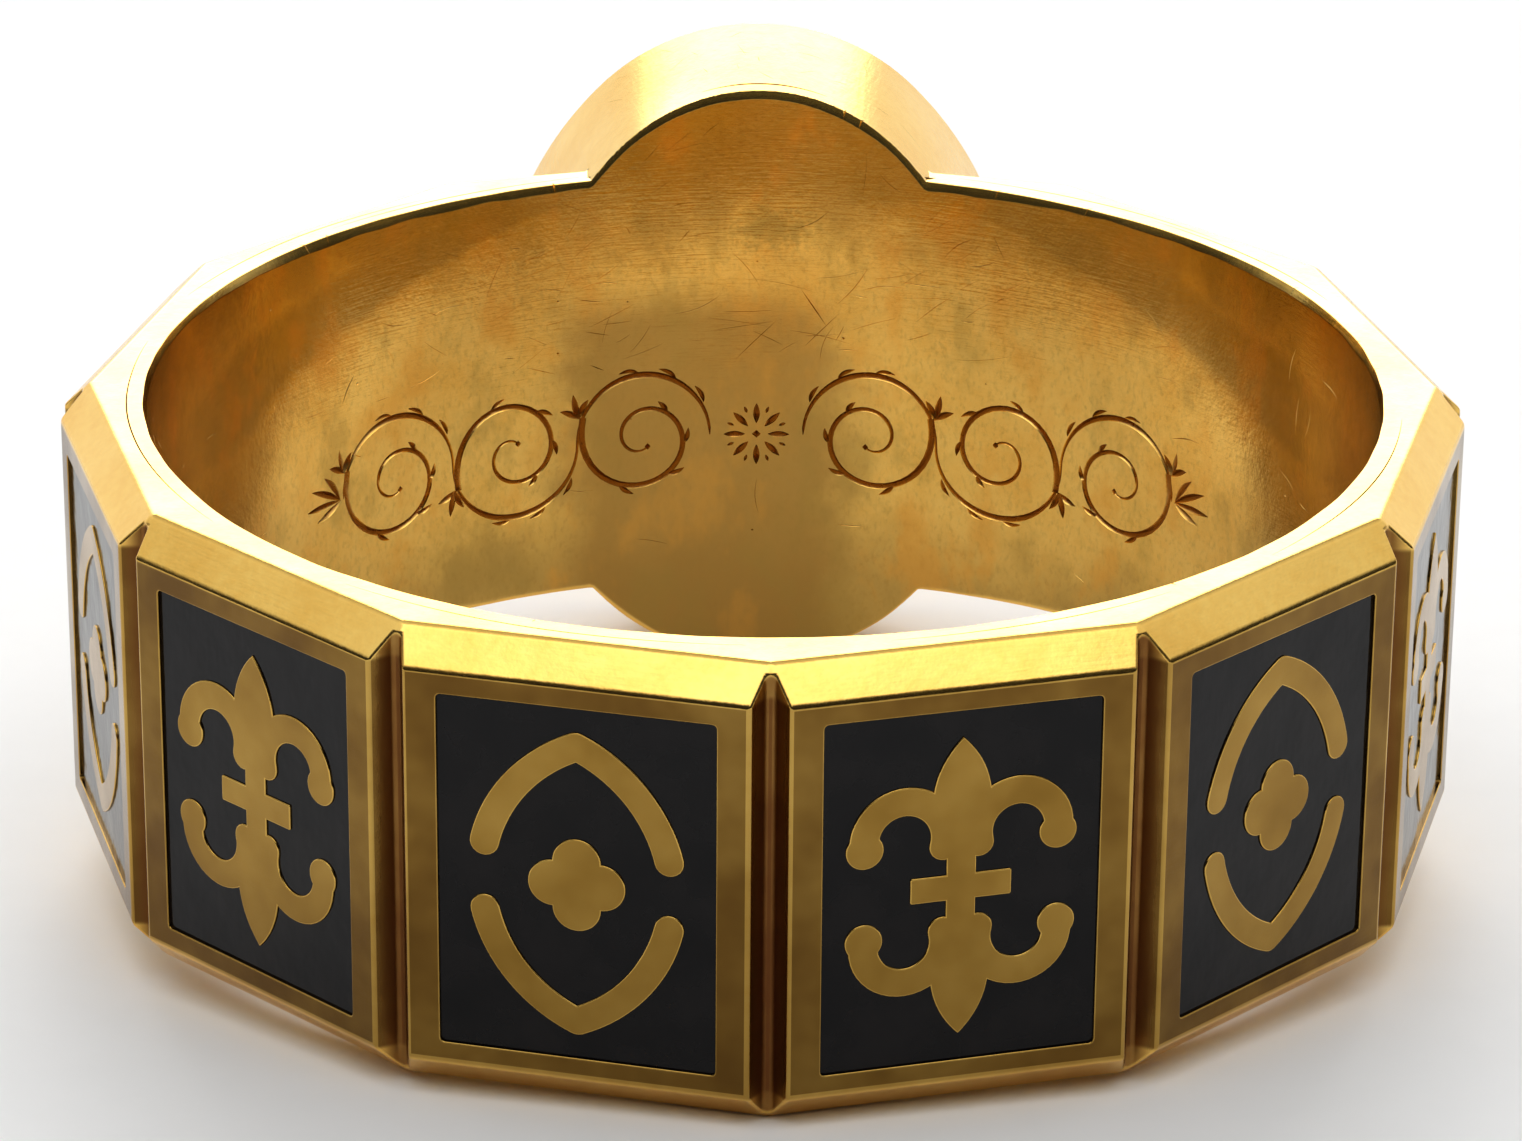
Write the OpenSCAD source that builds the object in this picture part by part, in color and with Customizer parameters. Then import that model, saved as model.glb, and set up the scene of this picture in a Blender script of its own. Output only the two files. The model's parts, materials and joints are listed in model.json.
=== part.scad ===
// Gold and black enamel mourning ring, lying on its side as it rests by itself.
// The hoop is made round its own axis, with the bezel towards +Y, and is then
// laid down, where it stands on the bezel's rim and on the back of the band.

/* [Hoop] */
// Radius of the round finger hole
bore_r = 9.5; // [8:0.25:10]
// Radius over the corners of the twelve-sided outside
corner_r = 10.93; // [10.75:0.01:11.2]
// Width of the band along the finger, at the back
band_w_back = 7.16; // [7:0.02:7.6]
// Width of the band along the finger, beside the bezel
band_w_head = 7.46; // [7:0.02:7.8]
// Height and depth of the bevel along both edges of the panels
edge_bevel = 0.5; // [0.3:0.05:0.55]

/* [Grooves] */
// Width of the groove on each corner, from lip to lip
groove_w = 0.66; // [0.4:0.02:0.8]
// Width of the flat at the bottom of the groove
groove_floor = 0.14; // [0.06:0.02:0.3]
// Depth of the groove below the corner
groove_d = 0.4; // [0.2:0.02:0.5]

/* [Enamel panels] */
// Width of the enamel field across the panel
field_w = 4.1; // [3.7:0.02:4.3]
// Height of the enamel field along the finger
field_h = 5.5; // [5.1:0.05:5.7]
// Depth of the sunk field below the panel's face
field_d = 0.42; // [0.3:0.02:0.5]
// Clearance between the enamel and the gold round it
enamel_gap = 0.02; // [0.01:0.005:0.04]
// How far the enamel and its gold ornament lie below the frame
field_sink = 0.04; // [0.02:0.01:0.08]
// Width of the gold lines left standing in the enamel
stroke_w = 0.44; // [0.34:0.02:0.48]

/* [Bezel] */
// Half width of the oval bezel where it meets the finger hole
bezel_half_w = 4.2; // [3.9:0.02:4.4]
// Half height of the oval bezel along the finger
bezel_half_h = 5.18; // [4.9:0.02:5.4]
// Radius of the bezel's upper and lower ends
bezel_end_r = 3.5; // [3.2:0.1:3.6]
// Distance from the finger hole's wall to the front of the bezel
bezel_d = 2.86; // [2.5:0.02:3.6]
// How much wider the front of the bezel is, all round
bezel_flare = 0.3; // [0.1:0.02:0.4]
// Width of the rim round the bezel's face
rim_w = 0.5; // [0.35:0.05:0.8]
// Width of the channel between the rim and the plate of the face
channel_w = 0.26; // [0.1:0.02:0.5]
// Depth of the channel below the rim
channel_d = 0.3; // [0.2:0.02:0.6]
// Depth of the plate below the rim
plate_sink = 0.08; // [0.04:0.02:0.16]

/* [Hidden] */
$fn = 96;
sides = 12;
panels = 10;
side_turn = 360 / sides;
back_turn = -90;
head_turn = 90;
flat_r = corner_r * cos(side_turn / 2);
land_corner_r = (flat_r - edge_bevel) / cos(side_turn / 2);
front_y = bore_r + bezel_d;
reach = 40;
over = 0.5;

// Half the band's width at a place y along the line from the back to the bezel
function half_band(y) =
    (band_w_back + (band_w_head - band_w_back) * (y + bore_r) / (2 * bore_r)) / 2;

// The bezel's oval has two wide side arcs and a smaller arc tangent to them at each end
end_z = bezel_half_h - bezel_end_r;
side_r = (bezel_half_w ^ 2 + end_z ^ 2 - bezel_end_r ^ 2)
    / (2 * (bezel_half_w - bezel_end_r));
side_x = side_r - bezel_half_w;
join_part = end_z / (side_r - bezel_end_r);

// The bezel starts a little way inside the finger hole, which then cuts it to shape
root_y = bore_r - 1.6;
root_grow = -bezel_flare * (bore_r - root_y) / bezel_d;
channel_grow = bezel_flare - rim_w;
plate_grow = channel_grow - channel_w;

// The ring leans on the lower end of the bezel's rim and on the band's back corner
stand_back = [-land_corner_r, -half_band(-land_corner_r)];
stand_front = [front_y, -bezel_half_h - bezel_flare];
lean = atan2(stand_back[1] - stand_front[1], stand_front[0] - stand_back[0]);
lift_z = -stand_front[0] * sin(lean) - stand_front[1] * cos(lean);
back_lip = [-corner_r + tan(side_turn / 2) * groove_w / 2, half_band(-flat_r) - edge_bevel];
back_end = back_lip[0] * cos(lean) - back_lip[1] * sin(lean);
front_end = stand_front[0] * cos(lean) - stand_front[1] * sin(lean);
middle_y = (back_end + front_end) / 2;

// The open pointed oval of the odd panels
arch_r = 2.35;
arch_half_w = 1.42;
arch_x = arch_r - arch_half_w;
arch_tip = acos(arch_x / arch_r);
arch_open = 13;
petal_r = 0.36;

// The double lily of the even panels
leaf_r = 1.4;
leaf_half_w = 0.44;
leaf_z = 1.32;
curl_r = 0.6;
curl_at = [0.84, 0.82];
curl_turns = [-10, 195];
bead_r = 0.28;
band_half = [0.75, 0.2];
stem_half = 0.6;

gold = "#c9a04a";
black = "#15151a";

// Lays the ring on the floor, with the middle of its length over the origin
module at_rest() {
    translate([0, -middle_y, lift_z]) rotate([lean, 0, 0]) children();
}

// Turns to panel number i of the ten that run round the back of the ring
module at_panel(i) {
    rotate([0, 0, back_turn + side_turn * (i - (panels + 1) / 2)]) children();
}

// Raises a flat drawing outwards from radius r, with its x round the ring
module on_panel(r, depth) {
    translate([r, 0, 0]) rotate([90, 0, 90]) linear_extrude(depth) children();
}

// The band seen from its side, a little wider towards the bezel
module band_side() {
    ends = [-reach / 2, reach / 2];
    polygon([
        [ends[0], -half_band(ends[0])],
        [ends[1], -half_band(ends[1])],
        [ends[1], half_band(ends[1])],
        [ends[0], half_band(ends[0])]
    ]);
}

module band_blank() {
    intersection() {
        cylinder(r = corner_r, h = reach, center = true, $fn = sides);
        rotate([90, 0, 90]) linear_extrude(reach, center = true) band_side();
    }
}

// Cuts the bevel along the upper edge of the flat that faces the turn given
module edge_cut(turn) {
    z = half_band(flat_r * sin(turn));
    rotate([0, 0, turn])
        translate([flat_r - edge_bevel / 2, 0, z - edge_bevel / 2])
            rotate([0, -45, 0])
                translate([0, -flat_r / 2, -flat_r / 2])
                    cube([3 * edge_bevel, flat_r, flat_r]);
}

module groove_cut(turn) {
    widening = (groove_w - groove_floor) / 2 / groove_d;
    mouth = groove_w / 2 + widening * over;
    rotate([0, 0, turn])
        linear_extrude(reach, center = true)
            polygon([
                [corner_r - groove_d, -groove_floor / 2],
                [corner_r + over, -mouth],
                [corner_r + over, mouth],
                [corner_r - groove_d, groove_floor / 2]
            ]);
}

// An oval block along +Y whose outline grows from root_grow to tip_grow
module oval_block(from_y, to_y, root, tip) {
    depth = to_y - from_y;
    root_z = join_part * (side_r + root);
    tip_z = join_part * (side_r + tip);
    translate([0, from_y, 0]) rotate([-90, 0, 0]) {
        intersection() {
            intersection_for (x = [-side_x, side_x])
                translate([x, 0, 0])
                    cylinder(r1 = side_r + root, r2 = side_r + tip, h = depth);
            rotate([90, 0, 90]) linear_extrude(reach, center = true)
                polygon([[-root_z, 0], [root_z, 0], [tip_z, depth], [-tip_z, depth]]);
        }
        for (z = [-end_z, end_z])
            translate([0, z, 0])
                cylinder(r1 = bezel_end_r + root, r2 = bezel_end_r + tip, h = depth);
    }
}

// What is cut from the bezel's front to leave a plain plate inside a narrow rim
module face_cut() {
    difference() {
        oval_block(front_y - channel_d, front_y + over, channel_grow, channel_grow);
        oval_block(front_y - reach, front_y - plate_sink, plate_grow, plate_grow);
    }
}

// A slice of the plane from one turn to another, at most three quarters round
module slice(r, from, to) {
    step = (to - from) / 4;
    far = r / cos(step / 2);
    polygon([[0, 0], for (turn = [from:step:to]) far * [cos(turn), sin(turn)]]);
}

// A line of the ornament along an arc, with round ends
module arc_line(r, from, to, grow) {
    half_w = stroke_w / 2 + grow;
    intersection() {
        difference() {
            circle(r + half_w);
            circle(r - half_w);
        }
        slice(r + stroke_w, from, to);
    }
    for (turn = [from, to])
        rotate(turn) translate([r, 0]) circle(half_w);
}

// A pointed oval, open at its sides, round a flower of four petals
module arch_ornament(grow) {
    for (x = [0, 1], y = [0, 1])
        mirror([x, 0]) mirror([0, y])
            translate([-arch_x, 0]) arc_line(arch_r, arch_open, arch_tip, grow);
    for (turn = [0:90:270])
        rotate(turn) translate([petal_r, 0]) circle(petal_r + grow);
}

// Two lilies foot to foot on a short bar: a pointed leaf between two curled ones
module lily_ornament(grow) {
    square(2 * [band_half[0] + grow, band_half[1] + grow], center = true);
    square([stroke_w + 2 * grow, 2 * stem_half], center = true);
    for (y = [0, 1]) mirror([0, y]) {
        translate([0, leaf_z]) intersection_for (x = [-1, 1])
            translate([x * (leaf_r - leaf_half_w), 0]) circle(leaf_r + grow);
        for (x = [0, 1]) mirror([x, 0]) translate(curl_at) {
            arc_line(curl_r, curl_turns[0], curl_turns[1], grow);
            rotate(curl_turns[0]) translate([curl_r, 0]) circle(bead_r + grow);
        }
    }
}

module ornament(i, grow) {
    if (i % 2 == 1) arch_ornament(grow);
    else lily_ornament(grow);
}

module hoop() {
    top_r = flat_r - field_sink;
    color(gold) at_rest() {
        difference() {
            union() {
                difference() {
                    band_blank();
                    for (side = [0 : sides - 1], z = [0, 1])
                        mirror([0, 0, z]) edge_cut(side_turn * (side + 0.5));
                    for (corner = [1 : sides - 1])
                        groove_cut(head_turn + side_turn * corner);
                }
                oval_block(root_y, front_y, root_grow, bezel_flare);
            }
            cylinder(r = bore_r, h = reach, center = true);
            face_cut();
            for (i = [1 : panels])
                at_panel(i) on_panel(flat_r - field_d, field_d + over)
                    square([field_w, field_h], center = true);
        }
        for (i = [1 : panels])
            at_panel(i) on_panel(flat_r - field_d - over / 5, field_d + over / 5 - field_sink)
                ornament(i, 0);
    }
}

module enamel(i) {
    color(black) at_rest() at_panel(i)
        on_panel(flat_r - field_d + enamel_gap, field_d - field_sink - enamel_gap)
            difference() {
                square([field_w - 2 * enamel_gap, field_h - 2 * enamel_gap], center = true);
                ornament(i, enamel_gap);
            }
}

hoop();
enamel(1);  // enamel_1
enamel(2);  // enamel_2
enamel(3);  // enamel_3
enamel(4);  // enamel_4
enamel(5);  // enamel_5
enamel(6);  // enamel_6
enamel(7);  // enamel_7
enamel(8);  // enamel_8
enamel(9);  // enamel_9
enamel(10);  // enamel_10
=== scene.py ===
"""Gold and black enamel mourning ring, lying on its side on a pale floor.

The ring is drawn in millimetres in its own frame, where the finger hole runs along Z and the bezel
faces +Y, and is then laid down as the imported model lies.
"""

import json
import random
from contextlib import contextmanager
from math import asin, atan2, cos, degrees, hypot, pi, radians, sin, sqrt
from types import SimpleNamespace

import bmesh
import bpy
from mathutils import Matrix, Vector, noise

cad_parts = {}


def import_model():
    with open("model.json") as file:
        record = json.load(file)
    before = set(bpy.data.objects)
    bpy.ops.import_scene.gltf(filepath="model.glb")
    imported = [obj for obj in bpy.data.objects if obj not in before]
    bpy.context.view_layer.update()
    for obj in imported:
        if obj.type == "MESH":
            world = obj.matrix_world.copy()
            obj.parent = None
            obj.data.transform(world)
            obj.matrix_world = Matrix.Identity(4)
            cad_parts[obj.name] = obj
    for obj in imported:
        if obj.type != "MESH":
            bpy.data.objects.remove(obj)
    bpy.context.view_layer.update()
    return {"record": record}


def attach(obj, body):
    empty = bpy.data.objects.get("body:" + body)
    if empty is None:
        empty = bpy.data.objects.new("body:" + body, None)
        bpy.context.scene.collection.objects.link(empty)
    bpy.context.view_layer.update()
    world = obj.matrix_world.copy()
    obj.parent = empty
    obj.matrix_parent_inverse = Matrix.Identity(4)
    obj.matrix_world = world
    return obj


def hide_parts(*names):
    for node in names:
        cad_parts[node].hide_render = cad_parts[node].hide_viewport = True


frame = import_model()
rng = random.Random(11)
FULL_TURN = 2 * pi
MM = 0.001

# How the ring lies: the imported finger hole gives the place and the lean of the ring's own frame
bore = frame["record"]["mounts"][0]
BORE_R = bore["dims"]["r_mm"]
LEAN = atan2(-bore["axis"][1], bore["axis"][2])
REST = Matrix.Translation(bore["pos_m"]) @ Matrix.Rotation(LEAN, 4, "X") @ Matrix.Scale(MM, 4)

# Camera, about the middle of the finger hole in the ring's own frame
CAM_ELEVATION = 23.17
CAM_TURN = -0.71
CAM_ROLL = 0.454
CAM_DISTANCE = 97.0
CAM_ASIDE = -0.016
CAM_UP = 0.472
CAM_LENS = 146.2
SENSOR_W = 36.0

# Band
CORNER_R = 10.93
BAND_W_BACK = 7.16
BAND_W_HEAD = 7.46
EDGE_BEVEL = 0.5
GROOVE_W = 0.66
GROOVE_FLOOR = 0.14
GROOVE_D = 0.4
SIDES = 12
PANELS = 10
SIDE_TURN = FULL_TURN / SIDES
FLAT_R = CORNER_R * cos(SIDE_TURN / 2)
LAND_R = (FLAT_R - EDGE_BEVEL) / cos(SIDE_TURN / 2)

# Steep chamfer filed round the finger hole's mouths, with the noises that make it uneven, each as its
# amount, its scale and its third coordinate
LIP_DROP = 0.125
LIP_OUT = 0.055
LIP_CLEAR = 0.03
LIP_NOISES = ((0.35, 2.2, 5.0), (0.3, 14, 3.0))

# Enamel panels and the gold ornament left standing in them
FIELD_W = 4.1
FIELD_H = 5.5
FIELD_D = 0.42
FIELD_CORNER_R = 0.07
GOLD_SINK = 0.02
ENAMEL_SINK = 0.05
ORNAMENT_ROOT = 0.1
STROKE_W = 0.44

# The pointed oval round a flower
ARCH_R = 2.35
ARCH_HALF_W = 1.42
ARCH_OPEN = 13
PETAL_R = 0.36

# The double lily
LEAF_R = 1.4
LEAF_HALF_W = 0.44
LEAF_Z = 1.32
CURL_R = 0.6
CURL_AT = (0.84, 0.82)
CURL_TURNS = (-10, 195)
BEAD_R = 0.28
BAR_HALF = (0.75, 0.2)
STEM_HALF = (STROKE_W / 2, 0.6)
BAR_CORNER_R = 0.03

# Bezel
BEZEL_HALF_W = 4.2
BEZEL_HALF_H = 5.18
BEZEL_END_R = 3.5
BEZEL_D = 2.86
BEZEL_FLARE = 0.3
BEZEL_ROOT_Y = BORE_R - 1.6
RIM_W = 0.5
CHANNEL_W = 0.26
CHANNEL_D = 0.3
PLATE_SINK = 0.08
FRONT_Y = BORE_R + BEZEL_D
END_Z = BEZEL_HALF_H - BEZEL_END_R
SIDE_R = (BEZEL_HALF_W ** 2 + END_Z ** 2 - BEZEL_END_R ** 2) / (2 * (BEZEL_HALF_W - BEZEL_END_R))
SIDE_X = SIDE_R - BEZEL_HALF_W
JOIN_TURN = asin(END_Z / (SIDE_R - BEZEL_END_R))

# Scroll engraved in the finger hole's wall. A place on the wall is its way from the bezel's middle
# towards +X, and its height. Leaves are given by turn, length and bend, or without the bend.
SCROLL_R = 1.16
SCROLL_Z = -1.0
SCROLL_START = 0.8
SCROLL_UNITS = 3
STEM_STEPS = 28
VOLUTE_STEPS = 52
VOLUTE_START = 24
VOLUTE_SWEEP = 500
VOLUTE_IN = 0.84
VOLUTE_LEAVES = ((-62, 0.3), (-118, 0.3), (-172, 0.27), (-226, 0.24))
FORK_LEAVES = ((100, 0.36, 0.3), (72, 0.46, 0.1), (44, 0.36, -0.3))
OUTER_LEAVES = (150, 118, 86)
END_LEAVES = ((70, 0.6, -0.3), (35, 0.75, -0.15), (0, 0.8, 0.0), (-35, 0.6, 0.2))
PETALS = 8

# A cut's depth as a share of its width, and how far its tool stands over the surface
CUT_RATIO = 0.65
FINE_RATIO = 0.5
SCRATCH_RATIO = 0.35
CUT_LIFT = 0.004

# Scratches, hairlines, pits and nicks: how many there are, and the range of their widths
WALL_SCRATCHES = 150
WALL_SCRATCH_W = (0.014, 0.03)
HAIRLINES = 70
HAIRLINE_W = (0.009, 0.018)
PLATE_SCRATCHES = 40
PLATE_SCRATCH_W = (0.007, 0.014)
SIDE_SCRATCHES = 36
SIDE_SCRATCH_W = (0.012, 0.022)
PITS = 40
PIT_SIZE = (0.012, 0.03)
NICKS = 26
NICK_W = (0.02, 0.05)

# Where they lie: how far round the wall and up it, what the scroll takes, and how far over the plate
WALL_REACH = 29
WALL_HALF_H = 3.0
SCRATCH_TOP = 3.15
SCROLL_REACH = 8.5
SCROLL_LOW, SCROLL_HIGH = -2.5, 0.5
PLATE_REACH = (3.0, 3.9)

# A nick's path over the edge of the mouth, as distances from the wall and drops below the mouth
NICK_PATH = ((-0.01, 0.14), (0.03, 0.055), (0.06, 0.0), (0.14, 0.0))

# Joint of lining and band: radius, start and end of each piece of its line, and for the bezel its
# radius, its start in x and its length
SEAM_ARCS = ((9.76, 108, 136), (9.9, 124, 158), (9.8, 170, 214), (9.82, 232, 268),
             (9.78, 280, 306), (9.84, 318, 352), (9.77, 22, 48), (9.88, 40, 70))
SEAM_STEPS = 30
BEZEL_SEAM = (9.83, -0.95, 2.1)
BEZEL_SEAM_STEPS = 24

# Solder pits: on the upper or lower edge, to the right or left, and their size
SOLDER_PITS = ((1, 1, 0.1), (1, -1, 0.045), (-1, -1, 0.08))
SOLDER_R = BORE_R + 0.2

# Worn edges, as the widths of their rounding, and the angle below which an edge stays as it is
WIDEST_EDGE = 0.08
EDGE_OUTER = 0.075
EDGE_GROOVE = 0.045
EDGE_FINE = 0.018
EDGE_LIP = 0.012
LEAST_TURN = radians(20)
MOUTH_Z = 3.25

# The hoop's three slots while it is made, all of one gold: as it is, rounded by wear, and cut
PLAIN, WORN, CUT = 0, 1, 2

# Colours of the gold: polished and warm metal, painted shade on the wall, brown painted shade on the
# outside and darker painted shade on the frames of the panels, fine flecks and a patch of painted
# shade on the wall, the orange and olive clouds on the wall, engraved cuts, and grooves
GOLD_BRIGHT = (0.96, 0.63, 0.16, 1)
GOLD_WARM = (0.88, 0.5, 0.09, 1)
GOLD_WALL_SHADE = (0.58, 0.37, 0.09, 1)
GOLD_OUTSIDE_SHADE = (0.24, 0.13, 0.023, 1)
GOLD_FRAME_SHADE = (0.12, 0.059, 0.013, 1)
GOLD_FLECKS_AND_SHADE = (0.4, 0.225, 0.05, 1)
GOLD_ORANGE = (0.84, 0.4, 0.06, 1)
GOLD_OLIVE = (0.4, 0.262, 0.058, 1)
GOLD_CUT = (0.4, 0.19, 0.055, 1)
GOLD_DIRT = (0.17, 0.06, 0.018, 1)

# Noises in the gold, as scale, detail and roughness, and how some are stretched
PATCHES = (0.5, 3.0, 0.65)
GRAINS = (7.0, 2.0, 0.6)
WAVES = (0.4, 0.0)
BRUSHING = (2, 2, 24)
TOOTH = (17.0, 1.0)
FLECKS = (1.0, 3.0, 0.65)
FLECKS_SCALE = (12, 12, 7)
CLOUDS = (1.0, 4.0, 0.62)
CLOUDS_SCALE = (0.9, 0.9, 0.5)
CLOUDS_SHIFT = 40

# Fades in the gold: from where to where in millimetres, and from which value to which if not from 0
# to 1. R is the distance from the axis, X the one to either side, Y the place towards the bezel, Z the
# height and W the way from the nearest groove.
BAND_Y = (BORE_R - 0.6, BORE_R - 1.2)
# Where the painted shade on the outside of the band lies
OUTSIDE_SHADE_R = (BORE_R + 0.75, BORE_R + 0.9)
OUTSIDE_SHADE_Z = (3.13, 3.04)
GROOVE_FADE_W = (0.31, 0.08)
GROOVE_FADE_R = (CORNER_R - 0.5, CORNER_R - 0.42)
GROOVE_END = (0.0, 0.07)
# Where the darker painted shade on the frames of the panels lies
FRAME_W = (0.84, 0.74)
FRAME_Z = (FIELD_H / 2 - 0.04, FIELD_H / 2 + 0.03)
WALL_R = (BORE_R + 0.04, BORE_R + 0.01)
DEEP_R = (BORE_R + 0.004, BORE_R + 0.028)
DEEP_LAST_R = (BORE_R + 0.25, BORE_R + 0.15)
DEEP_Z = (3.25, 3.1, 0.0, 0.8)
OUTER_CUT_R = (BORE_R + 0.1, BORE_R + 0.2, 0.0, 0.9)
OUTER_CUT_Y = (BORE_R + 0.55, BORE_R + 0.6, 1.0, 0.25)
# Where the painted shade on the wall lies: towards its mouths and sides, and in a curved band on each side
WALL_SHADE_Z = (1.9, 3.7)
WALL_SHADE_X = (7.6, 9.3, 0.0, 0.75)
SHADE_BAND_X = (8.4, 9.1)
SHADE_BAND_LAST_X = (12.4, 10.8)
SHADE_BAND_Z = (0.2, 1.1)
# Where the patch of painted shade behind the bezel lies
SHADE_PATCH_X = (4.6, 3.0, 0.0, 0.85)
SHADE_PATCH_Z = (2.0, 1.0)
BEHIND_BEZEL_Y = (5.0, 8.0)
SPOT_FADE = (1.2, 0.2, 0.0, 0.75)

# How far noise moves the edges of those places, how the band of painted shade on the wall bows, and
# where the middle of the patch of painted shade and the olive spot lie, which is measured on squeezed axes
WALL_SHADE_WAVER = 3.2
SHADE_BAND_WAVER = 1.2
SHADE_PATCH_WAVER = 3.0
SPOT_WAVER = 1.8
SHADE_BAND_BOW = 0.5
SHADE_PATCH_ASIDE = 0.9
SPOT_SCALE = (1.1, 0, 2.2)
SPOT_AT = (0.33, 0, 6.1)

# What the noises turn into: from which of their values to which, and the result there
PATCH_RANGE = (0.15, 0.85)
WARMTH = (*PATCH_RANGE, 0.0, 0.8)
DIRT_COVER = (*PATCH_RANGE, 0.7, 1.0)
# How the patches break up the painted shade outside the band and on the frames of the panels
OUTSIDE_SHADE_COVER = (*PATCH_RANGE, 0.75, 1.0)
FRAME_SHADE_COVER = (0.25, 0.75, 0.65, 0.95)
FLECK_COVER = (0.46, 0.76, 0.0, 0.34)
ORANGE_COVER = (0.5, 0.68, 0.0, 0.55)
OLIVE_COVER = (0.5, 0.32, 0.0, 0.4)
ROUGHNESS = (*PATCH_RANGE, 0.14, 0.265)
BRUSH_HEIGHT = (0.35, 0.65, 0.0007, 0.0022)
# How much less painted shade the worn edges outside get
WORN_SHADE_LOSS = 0.5
# How much weaker the orange clouds are in the patch of painted shade
SHADE_PATCH_ORANGE_LOSS = 0.55

# Added roughness of dirty, engraved and worn gold, and the heights of its relief
DIRT_ROUGH = 0.3
DEEP_ROUGH = 0.1
WORN_ROUGH = -0.04
TOOTH_HEIGHT = 0.0011
GRAIN_HEIGHT = 0.0025
WAVE_HEIGHT = 0.06

# Enamel and floor
ENAMEL_DARK = (0.003, 0.0026, 0.003, 1)
ENAMEL_LIGHT = (0.008, 0.0065, 0.0065, 1)
ENAMEL_MIX = (0.3, 0.7)
ENAMEL_ROUGHNESS = (0.3, 0.75, 0.07, 0.16)
ENAMEL_WAVE_HEIGHT = 0.02
ENAMEL_GRAIN_HEIGHT = 0.0015
FLOOR_DARK = (0.89, 0.89, 0.885, 1)
FLOOR_LIGHT = (0.92, 0.92, 0.915, 1)

# Studio light by direction: a dim front that fades into a soft ceiling, more light to the sides, and
# a glow low behind the ring, each with its brightness at both ends of the fade
CEILING = (0.8, 1.0, 0.04, 0.6)
CEILING_LEAN = 0.5
SIDE_LIGHT = (1.0, 1.25, 0.0, 0.3)
SIDE_LEAN = 0.7
GLOW_DEPTH = (0.1, 0.7, 0.0, 1.0)
GLOW_RISE = (0.75, 0.5)

# Two round softboxes: brightness, how high it stands from behind the ring, and where it starts and
# stops fading in degrees from its middle
LAMPS = ((3.2, 31.0, 16, 27), (1.25, 114.0, 18, 34))

# Fineness of the meshes, how far tools reach past the metal, how close points become one, and the
# angles within which faces lie in one plane or shade smoothly
BORE_STEPS = 360
OVAL_STEPS = 48
STROKE_STEPS = 24
CIRCLE_STEPS = 48
ROUND_END_STEPS = 10
CORNER_STEPS = 4
LEAF_STEPS = 10
SHORT_STEPS = 6
LONG_STEPS = 8
REACH = 12
OVER = 0.5
WELD = 0.0003
STRAY = 0.003
ONE_PLANE = radians(0.05)
SMOOTH_TURN = radians(35)


def half_band(y):
    """Half the band's width at a place y, which grows towards the bezel."""
    return (BAND_W_BACK + (BAND_W_HEAD - BAND_W_BACK) * (y + BORE_R) / (2 * BORE_R)) / 2


def flare_at(y):
    """How much wider the bezel is at a place y than at the finger hole's wall."""
    return BEZEL_FLARE * (y - BORE_R) / BEZEL_D


def oval_top(x, y):
    """Height of the bezel's outline over a place x, y, or a low number beside the bezel."""
    grow = flare_at(y)
    end_x = (BEZEL_END_R + grow) * cos(JOIN_TURN)
    if abs(x) < end_x:
        return END_Z + sqrt((BEZEL_END_R + grow) ** 2 - x * x)
    across = abs(x) + SIDE_X
    return sqrt(max((SIDE_R + grow) ** 2 - across ** 2, 0))


def mouth_top(x, y):
    """Height of the finger hole's mouth at a place x, y on its edge."""
    return max(half_band(y), oval_top(x, y) if y > 0 else 0)


# Mesh helpers

def link(name, mesh):
    ob = bpy.data.objects.new(name, mesh)
    bpy.context.scene.collection.objects.link(ob)
    return ob


@contextmanager
def edited(mesh):
    """The mesh as a bmesh, which is written back at the end."""
    bm = bmesh.new()
    bm.from_mesh(mesh)
    yield bm
    bm.to_mesh(mesh)
    bm.free()


def solid(name, verts, faces):
    """A closed mesh from points and faces, with its normals turned outwards."""
    mesh = bpy.data.meshes.new(name)
    mesh.from_pydata(verts, [], faces)
    with edited(mesh) as bm:
        bmesh.ops.recalc_face_normals(bm, faces=bm.faces)
    return link(name, mesh)


def loft(name, rings, closed=False):
    """A solid through rings of points, capped at both ends unless it closes on its first ring."""
    count, rows = len(rings[0]), len(rings)
    faces = []
    for row in range(rows if closed else rows - 1):
        low, high = row * count, (row + 1) % rows * count
        for i in range(count):
            j = (i + 1) % count
            faces.append((low + i, low + j, high + j, high + i))
    if not closed:
        faces += [tuple(range(count)), tuple(range((rows - 1) * count, rows * count))]
    return solid(name, [p for ring in rings for p in ring], faces)


def apply_modifiers(ob):
    depsgraph = bpy.context.evaluated_depsgraph_get()
    mesh = bpy.data.meshes.new_from_object(ob.evaluated_get(depsgraph))
    ob.modifiers.clear()
    ob.data = mesh


def combine(ob, tool, operation):
    """Joins ob with tool or cuts it by tool, which is used up."""
    modifier = ob.modifiers.new(operation, "BOOLEAN")
    modifier.object = tool
    modifier.operation = operation
    modifier.solver = "MANIFOLD"
    apply_modifiers(ob)
    bpy.data.objects.remove(tool)
    return ob


def gathered(objects):
    """Several separate solids as one object."""
    mesh = bpy.data.meshes.new("gathered")
    with edited(mesh) as bm:
        for ob in objects:
            bm.from_mesh(ob.data)
            bpy.data.objects.remove(ob)
    return link("gathered", mesh)


def weld(ob, distance, flatten=False):
    """Joins points closer than the distance and, to flatten, faces that lie in one plane."""
    with edited(ob.data) as bm:
        bmesh.ops.remove_doubles(bm, verts=bm.verts, dist=distance)
        if flatten:
            bmesh.ops.dissolve_limit(bm, angle_limit=ONE_PLANE, verts=bm.verts, edges=bm.edges)


def tidy_faces(ob):
    weld(ob, STRAY, flatten=True)


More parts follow.
